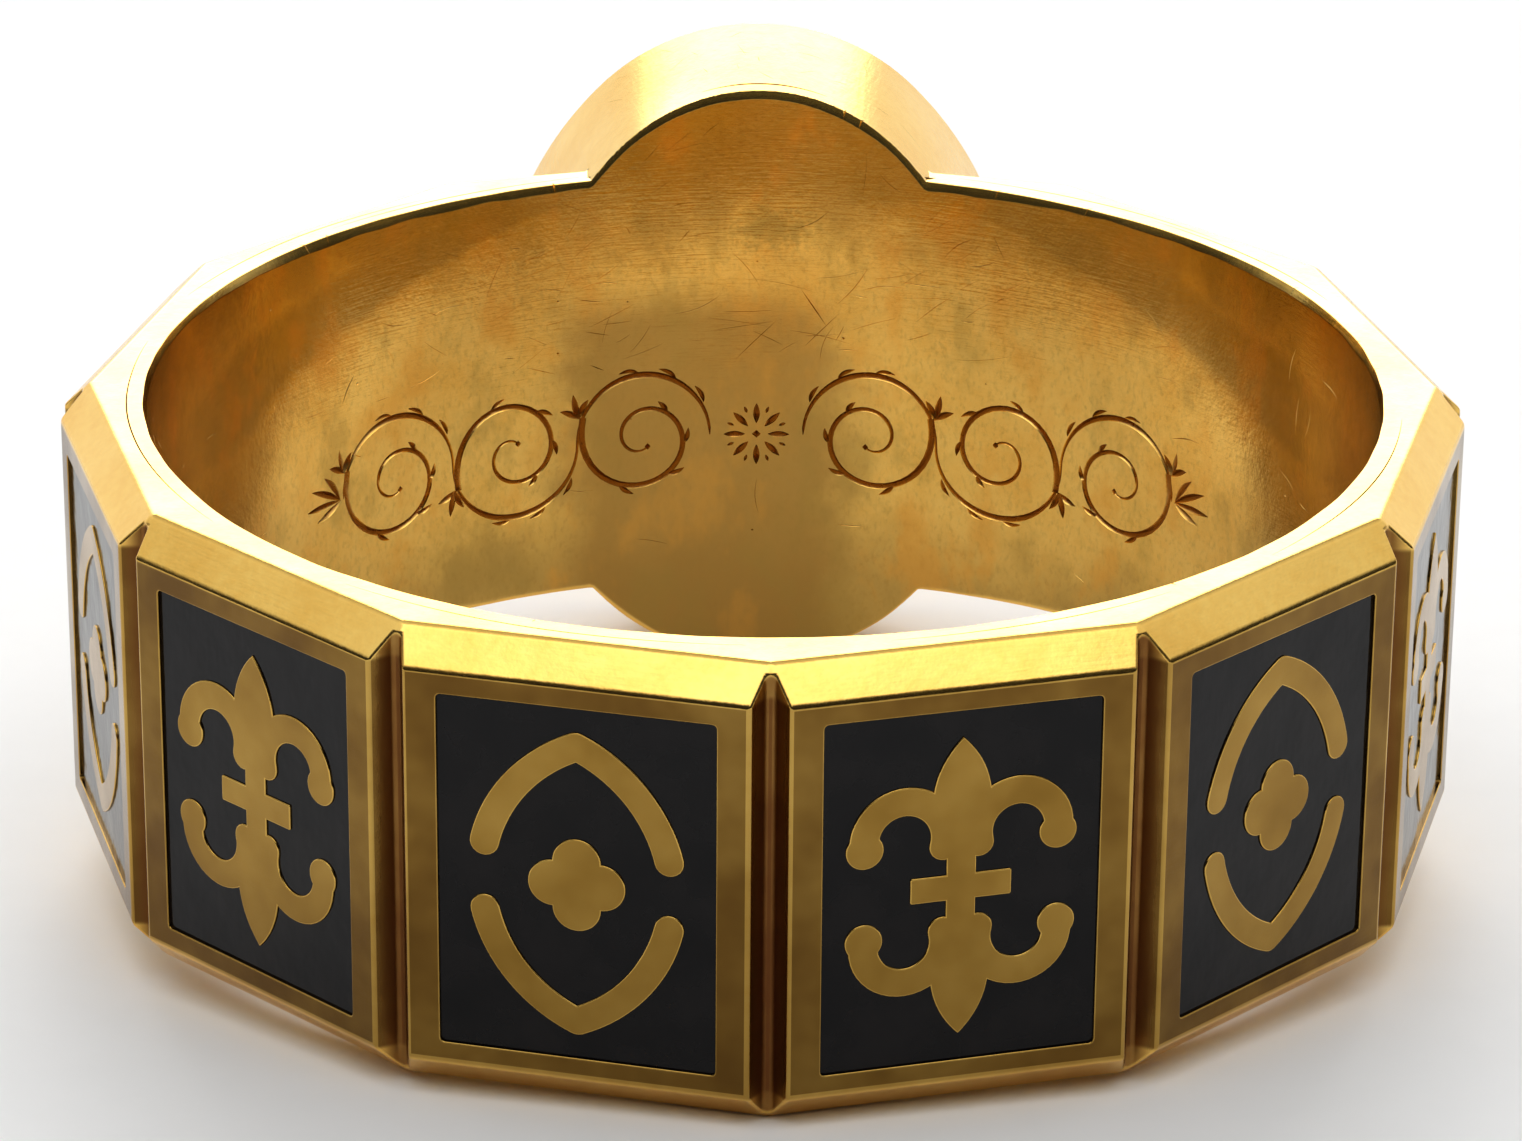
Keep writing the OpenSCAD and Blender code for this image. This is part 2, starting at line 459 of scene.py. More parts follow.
def shade(ob):
    """Smooth shading led by the large faces, with the finger hole's wall perfectly round."""
    ob.data.shade_smooth()
    ob.data.set_sharp_from_angle(angle=SMOOTH_TURN)
    modifier = ob.modifiers.new("shading", "WEIGHTED_NORMAL")
    modifier.keep_sharp = True
    apply_modifiers(ob)
    mesh = ob.data
    normals = [Vector(n.vector) for n in mesh.corner_normals]
    for face in mesh.polygons:
        middle = Vector((face.center.x, face.center.y, 0))
        if middle.length < BORE_R + 0.01 and face.normal.dot(middle.normalized()) < -0.99:
            for k in face.loop_indices:
                co = mesh.vertices[mesh.loops[k].vertex_index].co
                normals[k] = Vector((-co.x, -co.y, 0)).normalized()
    mesh.normals_split_custom_set(normals)


def lay_down(ob):
    ob.data.transform(REST)


# Outline helpers, in a plane

def arc(centre, r, start, end, steps):
    """Points on an arc, both ends included, with its turns in degrees."""
    turns = [radians(start + (end - start) * k / steps) for k in range(steps + 1)]
    return [(centre[0] + r * cos(t), centre[1] + r * sin(t)) for t in turns]


def circle(centre, r):
    return arc(centre, r, 0, 360 - 360 / CIRCLE_STEPS, CIRCLE_STEPS - 1)


def rounded_box(half_w, half_h, r):
    corners = [(half_w - r, half_h - r, 0), (r - half_w, half_h - r, 90),
               (r - half_w, r - half_h, 180), (half_w - r, r - half_h, 270)]
    return [p for x, y, turn in corners for p in arc((x, y), r, turn, turn + 90, CORNER_STEPS)]


def round_stroke(centre, r, start, end, half_w):
    """A line of even width along an arc, with round ends."""
    head = (centre[0] + r * cos(radians(end)), centre[1] + r * sin(radians(end)))
    tail = (centre[0] + r * cos(radians(start)), centre[1] + r * sin(radians(start)))
    points = arc(centre, r + half_w, start, end, STROKE_STEPS)
    points += arc(head, half_w, end, end + 180, ROUND_END_STEPS)[1:-1]
    points += arc(centre, r - half_w, end, start, STROKE_STEPS)
    points += arc(tail, half_w, start + 180, start + 360, ROUND_END_STEPS)[1:-1]
    return points


def leaf(centre, r, half_w):
    """A pointed leaf between two arcs of radius r, half_w to each side of its middle line."""
    turn = degrees(asin(sqrt(r * r - (r - half_w) ** 2) / r))
    x, z = centre
    right = arc((x - r + half_w, z), r, -turn, turn, STROKE_STEPS)
    left = arc((x + r - half_w, z), r, 180 - turn, 180 + turn, STROKE_STEPS)
    return right + left[1:-1]


def mirrored(points, flip_x, flip_z):
    return [(-x if flip_x else x, -z if flip_z else z) for x, z in points]


def slab(points, low, high):
    """A flat drawing raised from low to high, with x across, z up and its depth along Y."""
    return loft("slab", [[(x, y, z) for x, z in points] for y in (low, high)])


# Panels

def arch_outlines():
    """A pointed oval, open at its sides, round a flower of four petals."""
    x = ARCH_R - ARCH_HALF_W
    tip = 90 - degrees(asin(x / ARCH_R))
    stroke = round_stroke((-x, 0), ARCH_R, ARCH_OPEN, tip, STROKE_W / 2)
    outlines = [mirrored(stroke, fx, fz) for fx in (False, True) for fz in (False, True)]
    for turn in range(0, 360, 90):
        outlines.append(circle((PETAL_R * cos(radians(turn)), PETAL_R * sin(radians(turn))), PETAL_R))
    return outlines


def lily_outlines():
    """Two lilies foot to foot on a short bar: a pointed leaf between two curled ones."""
    outlines = [rounded_box(*half, BAR_CORNER_R) for half in (BAR_HALF, STEM_HALF)]
    curl = round_stroke(CURL_AT, CURL_R, *CURL_TURNS, STROKE_W / 2)
    end = radians(CURL_TURNS[0])
    bead = circle((CURL_AT[0] + CURL_R * cos(end), CURL_AT[1] + CURL_R * sin(end)), BEAD_R)
    for fz in (False, True):
        outlines.append(mirrored(leaf((0, LEAF_Z), LEAF_R, LEAF_HALF_W), False, fz))
        for fx in (False, True):
            outlines += [mirrored(curl, fx, fz), mirrored(bead, fx, fz)]
    return outlines


def ornament(i, low, high):
    """One solid of the ornament of panel i, drawn flat."""
    outlines = arch_outlines() if i % 2 else lily_outlines()
    shape = slab(outlines[0], low, high)
    for points in outlines[1:]:
        combine(shape, slab(points, low, high), "UNION")
    tidy_faces(shape)
    return shape


def on_panel(ob, i):
    """Takes a flat drawing, whose depth is its distance from the axis, to panel number i."""
    turn = SIDE_TURN * (i - (PANELS + 1) / 2)
    ob.data.transform(Matrix.Rotation(turn, 4, "Z") @ Matrix.Scale(-1, 4, (0, 1, 0)))
    ob.data.flip_normals()
    return ob


def field_slab(low, high):
    return slab(rounded_box(FIELD_W / 2, FIELD_H / 2, FIELD_CORNER_R), low, high)


def enamel_solid(i):
    """The enamel of one panel, which fills its field round the ornament."""
    plate = field_slab(FLAT_R - FIELD_D, FLAT_R - ENAMEL_SINK)
    combine(plate, ornament(i, FLAT_R - FIELD_D - OVER, FLAT_R), "DIFFERENCE")
    plate.name = f"black_enamel_{i}"
    return on_panel(plate, i)


# The hoop

def band_blank():
    """The twelve-sided band with the bevel along both its edges."""
    def ring(r, side, drop):
        points = []
        for k in range(SIDES):
            x, y = r * cos(SIDE_TURN * k), r * sin(SIDE_TURN * k)
            points.append((x, y, side * (half_band(y * LAND_R / r) - drop)))
        return points
    return loft("hoop_gold", [ring(LAND_R, -1, 0), ring(CORNER_R, -1, EDGE_BEVEL),
                              ring(CORNER_R, 1, EDGE_BEVEL), ring(LAND_R, 1, 0)])


def groove_tool(turn):
    widening = (GROOVE_W - GROOVE_FLOOR) / 2 / GROOVE_D
    mouth = GROOVE_W / 2 + widening * OVER
    section = [(CORNER_R - GROOVE_D, -GROOVE_FLOOR / 2), (CORNER_R + OVER, -mouth),
               (CORNER_R + OVER, mouth), (CORNER_R - GROOVE_D, GROOVE_FLOOR / 2)]
    rings = [[(a, b, z) for a, b in section] for z in (-REACH, REACH)]
    tool = loft("groove", rings)
    tool.data.transform(Matrix.Rotation(turn, 4, "Z"))
    return tool


def oval(grow, y):
    """The bezel's outline: two wide side arcs, with a smaller arc tangent to them at each end."""
    join = degrees(JOIN_TURN)
    side, end = SIDE_R + grow, BEZEL_END_R + grow
    points = arc((-SIDE_X, 0), side, -join, join, OVAL_STEPS)[:-1]
    points += arc((0, END_Z), end, join, 180 - join, OVAL_STEPS)[:-1]
    points += arc((SIDE_X, 0), side, 180 - join, 180 + join, OVAL_STEPS)[:-1]
    points += arc((0, -END_Z), end, 180 + join, 360 - join, OVAL_STEPS)[:-1]
    return [(x, y, z) for x, z in points]


def bezel_block():
    return loft("bezel", [oval(flare_at(BEZEL_ROOT_Y), BEZEL_ROOT_Y), oval(BEZEL_FLARE, FRONT_Y)])


def channel_tool():
    """What is cut from the bezel's front to leave a plain plate inside a narrow rim."""
    grow = BEZEL_FLARE - RIM_W
    inner = grow - CHANNEL_W
    tool = loft("channel", [oval(grow, FRONT_Y - CHANNEL_D), oval(grow, FRONT_Y + OVER)])
    plate = loft("plate", [oval(inner, FRONT_Y - BEZEL_D), oval(inner, FRONT_Y - PLATE_SINK)])
    return combine(tool, plate, "DIFFERENCE")


def bore_tool():
    turns = [FULL_TURN * k / BORE_STEPS for k in range(BORE_STEPS)]
    return loft("bore", [[(BORE_R * cos(t), BORE_R * sin(t), z) for t in turns] for z in (-REACH, REACH)])


def lip_tool(side):
    """A thin steep chamfer, filed by hand, round the mouth of the finger hole."""
    steps = 2 * BORE_STEPS
    rings = []
    for k in range(steps):
        turn = FULL_TURN * k / steps
        c, s = cos(turn), sin(turn)
        top = mouth_top(BORE_R * c, BORE_R * s)
        size = 1
        for amount, scale, third in LIP_NOISES:
            size += amount * noise.noise(Vector((scale * c, scale * s, third * side)))
        drop, out = LIP_DROP * size, LIP_OUT * size
        rise = LIP_CLEAR * (drop / out)
        section = [(-LIP_CLEAR, -drop - rise), (out + LIP_CLEAR, rise), (-LIP_CLEAR, rise)]
        rings.append([((BORE_R + a) * c, (BORE_R + a) * s, side * (top + b)) for a, b in section])
    return loft("lip", rings, closed=True)


def hoop_solid():
    """All the gold as one solid, before it is worn and scratched."""
    hoop = band_blank()
    corners = [pi / 2 + SIDE_TURN * k for k in range(1, SIDES)]
    combine(hoop, gathered([groove_tool(turn) for turn in corners]), "DIFFERENCE")
    combine(hoop, bezel_block(), "UNION")
    combine(hoop, bore_tool(), "DIFFERENCE")
    combine(hoop, channel_tool(), "DIFFERENCE")
    for side in (-1, 1):
        combine(hoop, lip_tool(side), "DIFFERENCE")
    numbers = range(1, PANELS + 1)
    fields = [on_panel(field_slab(FLAT_R - FIELD_D, FLAT_R + OVER), i) for i in numbers]
    combine(hoop, gathered(fields), "DIFFERENCE")
    low, high = FLAT_R - FIELD_D - ORNAMENT_ROOT, FLAT_R - GOLD_SINK
    combine(hoop, gathered([on_panel(ornament(i, low, high), i) for i in numbers]), "UNION")
    tidy_faces(hoop)
    return hoop


def give_slots(hoop, material):
    """The slots for plain, worn and cut faces, with every face plain."""
    hoop.data.materials.clear()
    for slot in (PLAIN, WORN, CUT):
        hoop.data.materials.append(material)
    for face in hoop.data.polygons:
        face.material_index = PLAIN


def edge_round(edge):
    """How wide the rounding of a worn edge is, in millimetres."""
    if not edge.is_manifold or edge.calc_face_angle(0) < LEAST_TURN:
        return 0
    middle = (edge.verts[0].co + edge.verts[1].co) / 2
    radius, height = hypot(middle.x, middle.y), abs(middle.z)
    if radius < BORE_R + 0.3 and height > MOUTH_Z and middle.y < BORE_R + 0.2:
        return EDGE_LIP if edge.is_convex and edge.calc_length() > 0.05 else 0
    if radius < BORE_R + 0.2:
        return 0
    if middle.y > BORE_R:
        return EDGE_OUTER if edge.is_convex else EDGE_GROOVE
    turn = atan2(middle.y, middle.x)
    panel = round((turn + pi / 2) / SIDE_TURN - 0.5) + 0.5
    off = turn + pi / 2 - panel * SIDE_TURN
    across, depth = radius * sin(off), FLAT_R - radius * cos(off)
    if abs(across) < FIELD_W / 2 + 0.01 and height < FIELD_H / 2 + 0.01:
        return EDGE_FINE if depth < 0.1 else 0
    if radius > CORNER_R - GROOVE_D - 0.05 and abs(across) > FLAT_R * sin(SIDE_TURN / 2) - GROOVE_W:
        return EDGE_GROOVE
    return EDGE_OUTER


def wear_edges(hoop):
    """Rounds the edges, and gives the rounding the slot of worn faces."""
    with edited(hoop.data) as bm:
        layer = bm.edges.layers.float.new("bevel_weight_edge")
        for edge in bm.edges:
            edge[layer] = edge_round(edge) / WIDEST_EDGE
    modifier = hoop.modifiers.new("worn_edges", "BEVEL")
    modifier.width = WIDEST_EDGE
    modifier.segments = 3
    modifier.limit_method = "WEIGHT"
    modifier.use_clamp_overlap = False
    modifier.material = WORN
    apply_modifiers(hoop)


def mark_faces(ob):
    """Turns the slots of worn and of cut faces into attributes that the gold's material reads."""
    mesh = ob.data
    for name, slot in (("worn", WORN), ("cut", CUT)):
        layer = mesh.attributes.new(name, "FLOAT", "FACE")
        layer.data.foreach_set("value", [float(face.material_index == slot) for face in mesh.polygons])
    for face in mesh.polygons:
        face.material_index = PLAIN
    for slot in (WORN, CUT):
        mesh.materials.pop()


# Cuts in general

def swelling(steps, peak, low=0.015):
    """Widths of a cut that starts and ends thin."""
    return [low + (peak - low) * sin(pi * k / steps) ** 0.9 for k in range(steps + 1)]


def tapering(steps, wide, low):
    """Widths of a cut that starts wide and runs out thin."""
    return [low + (wide - low) * (1 - k / steps) ** 0.7 for k in range(steps + 1)]


def cut(points, normals, widths, ratio=CUT_RATIO):
    """A tool of V section along points of a surface, whose normals point to the air."""
    rings = []
    last = len(points) - 1
    for k, (point, normal) in enumerate(zip(points, normals)):
        along = (points[min(k + 1, last)] - points[max(k - 1, 0)]).normalized()
        side = along.cross(normal).normalized() * widths[k] / 2
        depth = normal * widths[k] * ratio
        lift = normal * CUT_LIFT
        rings.append([point + side + lift, point - depth, point - side + lift, point + depth])
    return loft("cut", rings)


def flat_cut(points, normal, widths, ratio=CUT_RATIO):
    """A cut in a surface that faces the same way all along it."""
    return cut(points, [normal] * len(points), widths, ratio)


def wall_cut(points, widths, ratio=CUT_RATIO):
    """A cut along places of the finger hole's wall."""
    turns = [s / BORE_R for s, z in points]
    places = [Vector((BORE_R * sin(t), BORE_R * cos(t), z)) for t, (s, z) in zip(turns, points)]
    normals = [Vector((-sin(t), -cos(t), 0)) for t in turns]
    return cut(places, normals, widths, ratio)


def bezel_side_cut(points, side, widths, ratio=CUT_RATIO):
    """A cut along places x, y of the bezel's upper or lower side."""
    step = 0.01
    places, normals = [], []
    for x, y in points:
        slope = (oval_top(x + step, y) - oval_top(x - step, y)) / (2 * step)
        places.append(Vector((x, y, side * oval_top(x, y))))
        normals.append(Vector((-slope, -BEZEL_FLARE / BEZEL_D, side)).normalized())
    return cut(places, normals, widths, ratio)


def bowed(middle, turn, length, bend, steps):
    """Points of a slightly bent line about its middle, at a turn in radians."""
    points = []
    for k in range(steps + 1):
        along, across = length * (k / steps - 0.5), bend * length * sin(pi * k / steps)
        points.append((middle[0] + along * cos(turn) - across * sin(turn),
                       middle[1] + along * sin(turn) + across * cos(turn)))
    return points


def overlapping(box, other):
    return all(a[0] < b[1] and b[0] < a[1] for a, b in zip(box, other))


def cut_all(hoop, tools):
    """Cuts every tool, in sets whose tools stay clear of each other."""
    sets = []
    for tool in tools:
        xyz = list(zip(*(v.co for v in tool.data.vertices)))
        box = [(min(axis), max(axis)) for axis in xyz]
        for others in sets:
            if not any(overlapping(box, other) for _, other in others):
                others.append((tool, box))
                break
        else:
            sets.append([(tool, box)])
    for others in sets:
        joined = gathered([tool for tool, _ in others])
        for slot in hoop.data.materials:
            joined.data.materials.append(slot)
        for face in joined.data.polygons:
            face.material_index = CUT
        combine(hoop, joined, "DIFFERENCE")


# Engraved scroll, as lines of places on the wall and their widths

def leaf_line(base, turn, length, bend, peak):
    """A small curved leaf as one swelling cut."""
    c, s = cos(radians(turn)), sin(radians(turn))
    points = []
    for k in range(LEAF_STEPS + 1):
        along = length * k / LEAF_STEPS
        across = bend * length * (k / LEAF_STEPS) ** 2
        points.append((base[0] + along * c - across * s, base[1] + along * s + across * c))
    return points, swelling(LEAF_STEPS, peak)


def dot_line(place, half_w, wide):
    """A round dot as one short cut."""
    s, z = place
    return [(s - half_w, z), (s, z), (s + half_w, z)], [0.02, wide, 0.02]


def scroll_point(centre, r, turn, up):
    """A point of one round of the scroll, at a turn in degrees, mirrored where up is -1."""
    return centre[0] + r * cos(radians(turn)), centre[1] + up * r * sin(radians(turn))


def volute_lines(centre, up):
    """The curl that winds into one round of the scroll, with the berry at its end and its leaves."""
    volute = []
    for k in range(VOLUTE_STEPS + 1):
        r = SCROLL_R * (1 - VOLUTE_IN * (k / VOLUTE_STEPS) ** 0.8)
        volute.append(scroll_point(centre, r, VOLUTE_START - VOLUTE_SWEEP * k / VOLUTE_STEPS, up))
    lines = [(volute, tapering(VOLUTE_STEPS, 0.13, 0.035)), dot_line(volute[-1], 0.05, 0.13)]
    for turn, length in VOLUTE_LEAVES:
        k = round((VOLUTE_START - turn) / VOLUTE_SWEEP * VOLUTE_STEPS)
        lines.append(leaf_line(volute[k], up * (turn - 55), length, -0.45 * up, 0.1))
    return lines


def scroll_lines():
    """A running scroll of leaves, for one side of its middle flower."""
    lines = []
    stem = []
    for unit in range(SCROLL_UNITS):
        up = 1 if unit % 2 == 0 else -1
        centre = (SCROLL_START + SCROLL_R * (1 + 2 * unit), SCROLL_Z)
        stem += [scroll_point(centre, SCROLL_R, 180 - 180 * k / STEM_STEPS, up) for k in range(STEM_STEPS)]
        lines += volute_lines(centre, up)
        fork = scroll_point(centre, SCROLL_R + 0.06, 22, up)
        for turn, length, bend in FORK_LEAVES:
            lines.append(leaf_line(fork, up * turn, length, bend * up, 0.125))
        for turn in OUTER_LEAVES:
            base = scroll_point(centre, SCROLL_R + 0.05, turn, up)
            lines.append(leaf_line(base, up * (turn - 60), 0.3, -0.5 * up, 0.085))
    tip = scroll_point(centre, SCROLL_R, 0, up)
    stem.append(tip)
    widths = [0.055 + 0.07 * sin(pi * k / STEM_STEPS) ** 2 for k in range(len(stem))]
    widths[0] = widths[-1] = 0.02
    lines.append((stem, widths))
    for turn, length, bend in END_LEAVES:
        lines.append(leaf_line((tip[0] + 0.06, tip[1]), turn, length, bend, 0.13))
    return lines


def flower_lines():
    """The flower in the middle of the scroll: a ring of petals with a dot between each pair."""
    lines = []
    for k in range(PETALS):
        turn = 360 / PETALS * k
        for reach, length, peak, way in ((0.2, 0.36, 0.12, turn), (0.42, 0.12, 0.06, turn + 22.5)):
            c, s = cos(radians(way)), sin(radians(way))
            lines.append(leaf_line((reach * c, SCROLL_Z + reach * s), way, length, 0, peak))
    lines.append(dot_line((0, SCROLL_Z), 0.07, 0.15))
    return lines


def scroll_cuts():
    """The scroll on the wall behind the bezel."""
    lines = flower_lines()
    for points, widths in scroll_lines():
        lines.append((points, widths))
        lines.append((mirrored(points, True, False), widths))
    return [wall_cut(points, widths) for points, widths in lines]


# Scratches, pits, nicks and seams

def wall_place():
    """A place on the finger hole's wall, most of them clear of the scroll."""
    s, z = rng.uniform(-WALL_REACH, WALL_REACH), rng.uniform(-WALL_HALF_H, WALL_HALF_H)
    if abs(s) < SCROLL_REACH and SCROLL_LOW < z < SCROLL_HIGH and rng.random() < 0.7:
        z = rng.uniform(0.6, WALL_HALF_H)
    return s, z


def wall_scratches():
    """Fine scratches all round the finger hole's wall, most of them along the way round."""
    tools = []
    for k in range(WALL_SCRATCHES):
        place = wall_place()
        turn = radians(rng.gauss(0, 20) if rng.random() < 0.7 else rng.uniform(0, 180))
        length, bend = rng.uniform(0.15, 0.8), rng.uniform(-0.1, 0.1)
        points = [(s, min(max(z, -SCRATCH_TOP), SCRATCH_TOP))
                  for s, z in bowed(place, turn, length, bend, SHORT_STEPS)]
        widths = swelling(SHORT_STEPS, rng.uniform(*WALL_SCRATCH_W), 0.006)
        tools.append(wall_cut(points, widths, SCRATCH_RATIO))
    return tools


def hairlines():
    """Fine bright scratches high on the wall behind the bezel."""
    tools = []
    for k in range(HAIRLINES):
        s, turn = rng.uniform(-4.6, 4.6), rng.gauss(0.35, 0.5)
        length, bend = rng.uniform(0.25, 1.1), rng.uniform(-0.05, 0.05)
        x, y = BORE_R * sin(s / BORE_R), BORE_R * cos(s / BORE_R)
        top = max(half_band(BORE_R), oval_top(x, y)) - 0.45
        middle = (s, rng.uniform(0.3, top))
        points = [(a, min(b, top + 0.1)) for a, b in bowed(middle, turn, length, bend, LONG_STEPS)]
        widths = swelling(LONG_STEPS, rng.uniform(*HAIRLINE_W), 0.004)
        tools.append(wall_cut(points, widths, FINE_RATIO))
    return tools


def plate_scratches():
    """Fine scratches on the plate in the bezel's front, most of them in one direction."""
    tools = []
    for k in range(PLATE_SCRATCHES):
        bearing, reach, turn = rng.uniform(0, FULL_TURN), sqrt(rng.random()), rng.gauss(0.6, 0.4)
        length, bend = rng.uniform(0.2, 0.9), rng.uniform(-0.06, 0.06)
        middle = (PLATE_REACH[0] * reach * cos(bearing), PLATE_REACH[1] * reach * sin(bearing))
        points = [Vector((x, FRONT_Y - PLATE_SINK, z))
                  for x, z in bowed(middle, turn, length, bend, LONG_STEPS)]
        widths = swelling(LONG_STEPS, rng.uniform(*PLATE_SCRATCH_W), 0.004)
        tools.append(flat_cut(points, Vector((0, 1, 0)), widths, SCRATCH_RATIO))
    return tools


def side_scratches():
    """Short straight scratches on the bezel's upper and lower sides."""
    tools = []
    for k in range(SIDE_SCRATCHES):
        side, x, y = rng.choice((-1, 1)), rng.uniform(-2.6, 2.6), rng.uniform(10.15, 11.95)
        turn, length = rng.uniform(0, pi), rng.uniform(0.15, 0.5)
        points = bowed((x, y), turn, length, 0, SHORT_STEPS)
        widths = swelling(SHORT_STEPS, rng.uniform(*SIDE_SCRATCH_W), 0.006)
        tools.append(bezel_side_cut(points, side, widths, SCRATCH_RATIO))
    return tools


def wall_pits():
    """Small pits in the finger hole's wall."""
    tools = []
    for k in range(PITS):
        s, z = wall_place()
        size = rng.uniform(*PIT_SIZE)
        points = [(s - size, z), (s, z + size * rng.uniform(-0.5, 0.5)), (s + size, z)]
        tools.append(wall_cut(points, [0.3 * size, 2 * size, 0.3 * size], FINE_RATIO))
    return tools


def seam_cuts():
    """The fine joint between lining and band, which shows as broken lines on the edges."""
    tools = []
    for side in (-1, 1):
        for radius, start, end in SEAM_ARCS:
            places = []
            for k in range(SEAM_STEPS + 1):
                t = radians(start + (end - start) * k / SEAM_STEPS)
                r = radius + 0.02 * noise.noise(Vector((4 * cos(t), 4 * sin(t), side)))
                places.append(Vector((r * cos(t), r * sin(t), side * half_band(r * sin(t)))))
            tools.append(flat_cut(places, Vector((0, 0, side)), swelling(SEAM_STEPS, 0.032, 0.008)))
        radius, start, length = BEZEL_SEAM
        row = [start + length * k / BEZEL_SEAM_STEPS for k in range(BEZEL_SEAM_STEPS + 1)]
        points = [(x, sqrt(radius ** 2 - x * x)) for x in row]
        tools.append(bezel_side_cut(points, side, swelling(BEZEL_SEAM_STEPS, 0.06, 0.012)))
    return tools


def bezel_foot(radius):
    """The place x, y at a distance from the axis where the bezel's outline leaves the band's edge."""
    low, high = 2.0, 4.1
    for step in range(30):
        x = (low + high) / 2
        y = sqrt(radius ** 2 - x * x)
        if oval_top(x, y) > half_band(y):
            low = x
        else:
            high = x
    return x, y


def solder_pits():
    """The pits in the solder at the bezel's foot."""
    x, y = bezel_foot(SOLDER_R)
    tools = []
    for side, hand, size in SOLDER_PITS:
        places = [Vector((hand * (x + size * k), y + 0.25 * size * k, side * half_band(y)))
                  for k in (-0.6, 0.4, 1.5)]
        normal = Vector((0.3 * hand, 0, side)).normalized()
        tools.append(flat_cut(places, normal, [0.5 * size, 1.2 * size, 0.2 * size]))
    return tools


def nick_cuts():
    """Small nicks across the edge of the finger hole's mouth."""
    tools = []
    for k in range(NICKS):
        turn, side = rng.uniform(0, FULL_TURN), rng.choice((-1, 1))
        lean, width = rng.uniform(-0.8, 0.8), rng.uniform(*NICK_W)
        points = []
        for reach, drop in NICK_PATH:
            t = turn + lean * reach / BORE_R
            x, y = (BORE_R + reach) * cos(t), (BORE_R + reach) * sin(t)
            points.append(Vector((x, y, side * (mouth_top(x, y) - drop))))
        normal = Vector((-0.6 * cos(turn), -0.6 * sin(turn), 0.8 * side)).normalized()
        tools.append(flat_cut(points, normal, [width * 0.6, width, width, 0.008]))
    return tools


# Node helpers

class Graph:
    """A node tree, with short ways to add nodes. Their values are numbers or outputs of nodes."""

    def __init__(self, tree):
        self.tree = tree

    def put(self, socket, value):
        if isinstance(value, bpy.types.NodeSocket):
            self.tree.links.new(value, socket)
        else:
            socket.default_value = value

    def node(self, kind, inputs, **settings):
        """A node of the kind given, with its settings and its inputs by name or by number."""
        n = self.tree.nodes.new("ShaderNode" + kind)
        for key, value in settings.items():
            setattr(n, key, value)
        for key, value in inputs.items():
            self.put(n.inputs[key], value)
        return n

    def maths(self, operation, *values):
        return self.node("Math", dict(enumerate(values)), operation=operation).outputs[0]

    def times(self, first, *others):
        """The product of all the values."""
        for value in others:
            first = self.maths("MULTIPLY", first, value)
        return first

    def added(self, value, amount, base):
        """The base with an amount of the value added to it."""
        return self.maths("MULTIPLY_ADD", value, amount, base)

    def wavering(self, value, unrest, size):
        """The value moved up or down by a noise, by half the size at most."""
        return self.added(self.maths("SUBTRACT", unrest, 0.5), size, value)

    def ramp(self, value, low, high, at_low=0.0, at_high=1.0):
        """Goes smoothly from at_low to at_high while value goes from low to high."""
        inputs = {"Value": value, "From Min": low, "From Max": high, "To Min": at_low, "To Max": at_high}
        return self.node("MapRange", inputs, interpolation_type="SMOOTHSTEP").outputs["Result"]

    def noise(self, vector, scale, detail=2.0, roughness=0.5):
        inputs = {"Vector": vector, "Scale": scale, "Detail": detail, "Roughness": roughness}
        return self.node("TexNoise", inputs).outputs["Fac"]

    def vectors(self, operation, a, b, output="Vector"):
        return self.node("VectorMath", {0: a, 1: b}, operation=operation).outputs[output]

    def stretched(self, vector, scale, turn=0.0, shift=0.0):
        """Coordinates turned about their third axis, shifted, and then scaled along each axis."""
        inputs = {"Vector": vector, "Rotation": (0, 0, radians(turn)), "Location": (shift,) * 3}
        return self.vectors("MULTIPLY", self.node("Mapping", inputs).outputs[0], scale)

    def mixed(self, factor, a, b):
        """Colour a, and b instead where the factor is 1."""
        return self.node("Mix", {0: factor, 6: a, 7: b}, data_type="RGBA").outputs[2]

    def coordinates(self, kind):
        return self.node("TexCoord", {}).outputs[kind]

    def mark(self, name):
        """One of the attributes that mark_faces gives the hoop."""
        return self.node("Attribute", {}, attribute_name=name).outputs["Fac"]

    def separated(self, vector):
        outputs = self.node("SeparateXYZ", {0: vector}).outputs
        return outputs["X"], outputs["Y"], outputs["Z"]

    def ring_place(self):
        """The place on the surface in the ring's own frame, in millimetres."""
        inputs = {"Vector": self.coordinates("Object"), "Location": bore["pos_m"],
                  "Rotation": (LEAN, 0, 0), "Scale": (MM, MM, MM)}
        return self.node("Mapping", inputs, vector_type="TEXTURE").outputs[0]

    def relief(self, height):
        """Bump by a height in millimetres."""
        return self.node("Bump", {"Height": height, "Strength": 1.0, "Distance": MM}).outputs[0]


def material_of(name, build):
    """A material whose shader gets the inputs that build makes in its node tree."""
    material = bpy.data.materials.new(name)
    material.use_nodes = True
    g = Graph(material.node_tree)
    shader = material.node_tree.nodes["Principled BSDF"]
    for key, value in build(g).items():
        g.put(shader.inputs[key], value)
    return material


# Gold

